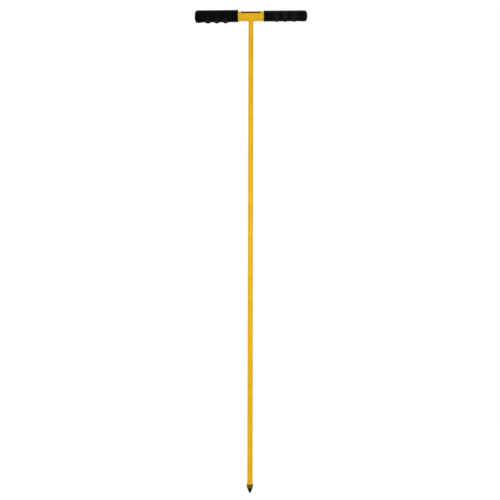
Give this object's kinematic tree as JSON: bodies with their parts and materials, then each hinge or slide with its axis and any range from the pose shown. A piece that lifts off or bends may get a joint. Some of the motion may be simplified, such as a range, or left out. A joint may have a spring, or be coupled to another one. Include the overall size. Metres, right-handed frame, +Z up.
{
  "type": "soil probe",
  "caption": "Long coated steel rod with a hardened point that unscrews, welded to a cross tube with moulded finger grips and pushed into the ground by hand to feel what lies below.",
  "frame": {"origin": "centre of the blunt nose of the point", "axes": "+Z up the rod to the handle, +X along the handle to the right, -Y to whoever looks at the front"},
  "size_m": [0.293, 0.0346, 1.2237],
  "materials": {
    "yellow_coat": "semi-gloss powder coat over steel",
    "label_film": "thin printed film, yellow with a dark border",
    "black_vinyl": "matt moulded vinyl with a fine grain",
    "dark_steel": "turned and blackened steel, satin"
  },
  "bodies": {
    "probe": {"probe_rod": "yellow_coat", "cross_tube": "yellow_coat", "handle_weld": "yellow_coat", "handle_label": "label_film", "left_grip": "black_vinyl", "right_grip": "black_vinyl"},
    "tip": {"probe_tip": "dark_steel"}
  },
  "joints": [
    {"name": "tip_release", "type": "slide", "parent": "probe", "child": "tip", "axis": [0, 0, -1], "range_m": [0, 0.02]}
  ]
}
